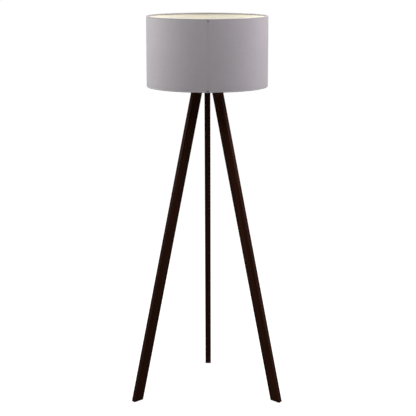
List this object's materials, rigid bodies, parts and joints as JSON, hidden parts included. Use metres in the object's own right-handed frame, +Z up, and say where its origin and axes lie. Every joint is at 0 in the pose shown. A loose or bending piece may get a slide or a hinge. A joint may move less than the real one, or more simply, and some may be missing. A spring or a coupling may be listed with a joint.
{
  "type": "tripod floor lamp",
  "caption": "Floor lamp with a cylindrical fabric shade on a splayed timber tripod whose legs fold in for moving.",
  "frame": {"origin": "on the floor under the lamp's axis, midway between the three glides", "axes": "+Z up; -Y is the front, where the shade's seam is; the back leg stands towards +Y"},
  "size_m": [0.567, 0.5471, 1.437],
  "materials": {
    "leg_wood": "satin",
    "black_steel": "satin",
    "zinc_steel": "satin",
    "brass": "satin",
    "nylon": "matte",
    "black_plastic": "matte",
    "glide_plastic": "matte",
    "steatite": "matte",
    "shade_cloth": "matte",
    "liner_film": "matte",
    "white_wire": "satin",
    "bulb_opal": "satin",
    "bulb_white": "satin",
    "bulb_metal": "satin",
    "bulb_black": "satin",
    "led_board": "satin"
  },
  "bodies": {
    "head": {"head_plate": "black_steel", "fork_front_left": "black_steel", "fork_front_right": "black_steel", "fork_back": "black_steel", "rivets": "zinc_steel", "leg_bolts": "zinc_steel", "cap_nuts": "zinc_steel", "bolt_washers": "zinc_steel", "friction_washers": "nylon", "nipple": "brass", "nipple_washer": "zinc_steel", "nipple_nut": "zinc_steel", "cord_gland": "black_plastic", "gland_screw": "nylon", "holder_cap": "black_plastic", "holder_sleeve": "black_plastic", "holder_insert": "steatite", "terminal_blocks": "brass", "terminal_screws": "brass", "centre_contact": "brass", "screw_shell": "brass", "lower_shade_ring": "black_plastic"},
    "shade": {"shade_liner": "liner_film", "shade_fabric": "shade_cloth", "shade_seam": "shade_cloth", "top_hem": "shade_cloth", "bottom_hem": "shade_cloth", "top_ring": "white_wire", "bottom_ring": "white_wire", "shade_arms": "white_wire", "fitter_ring": "white_wire"},
    "retaining_ring": {"upper_shade_ring": "black_plastic"},
    "bulb": {"bulb_cap": "bulb_metal", "bulb_contact": "bulb_metal", "bulb_insulator": "bulb_black", "bulb_housing": "bulb_white", "bulb_globe": "bulb_opal", "bulb_led_board": "led_board"},
    "leg_front_left_body": {"leg_front_left": "leg_wood", "bush_front_left": "brass", "glide_front_left": "glide_plastic"},
    "leg_front_right_body": {"leg_front_right": "leg_wood", "bush_front_right": "brass", "glide_front_right": "glide_plastic"},
    "leg_back_body": {"leg_back": "leg_wood", "bush_back": "brass", "glide_back": "glide_plastic"}
  },
  "joints": [
    {"name": "leg_front_left_fold", "type": "hinge", "parent": "head", "child": "leg_front_left_body", "pos_m": [-0.02598, -0.015, 1.22357], "axis": [0.5, -0.866, 0], "range_deg": [0, 12.6]},
    {"name": "leg_front_right_fold", "type": "hinge", "parent": "head", "child": "leg_front_right_body", "pos_m": [0.02598, -0.015, 1.22357], "axis": [0.5, 0.866, 0], "range_deg": [0, 12.6]},
    {"name": "leg_back_fold", "type": "hinge", "parent": "head", "child": "leg_back_body", "pos_m": [0, 0.03, 1.22357], "axis": [-1, 0, 0], "range_deg": [0, 12.6]},
    {"name": "shade_turn", "type": "hinge", "parent": "head", "child": "shade", "pos_m": [0, 0, 1.29177], "axis": [0, 0, 1], "continuous": true},
    {"name": "retaining_ring_turn", "type": "hinge", "parent": "head", "child": "retaining_ring", "pos_m": [0, 0, 1.29547], "axis": [0, 0, 1], "continuous": true},
    {"name": "bulb_unscrew", "type": "slide", "parent": "head", "child": "bulb", "axis": [0, 0, 1], "range_m": [0, 0.024]}
  ]
}
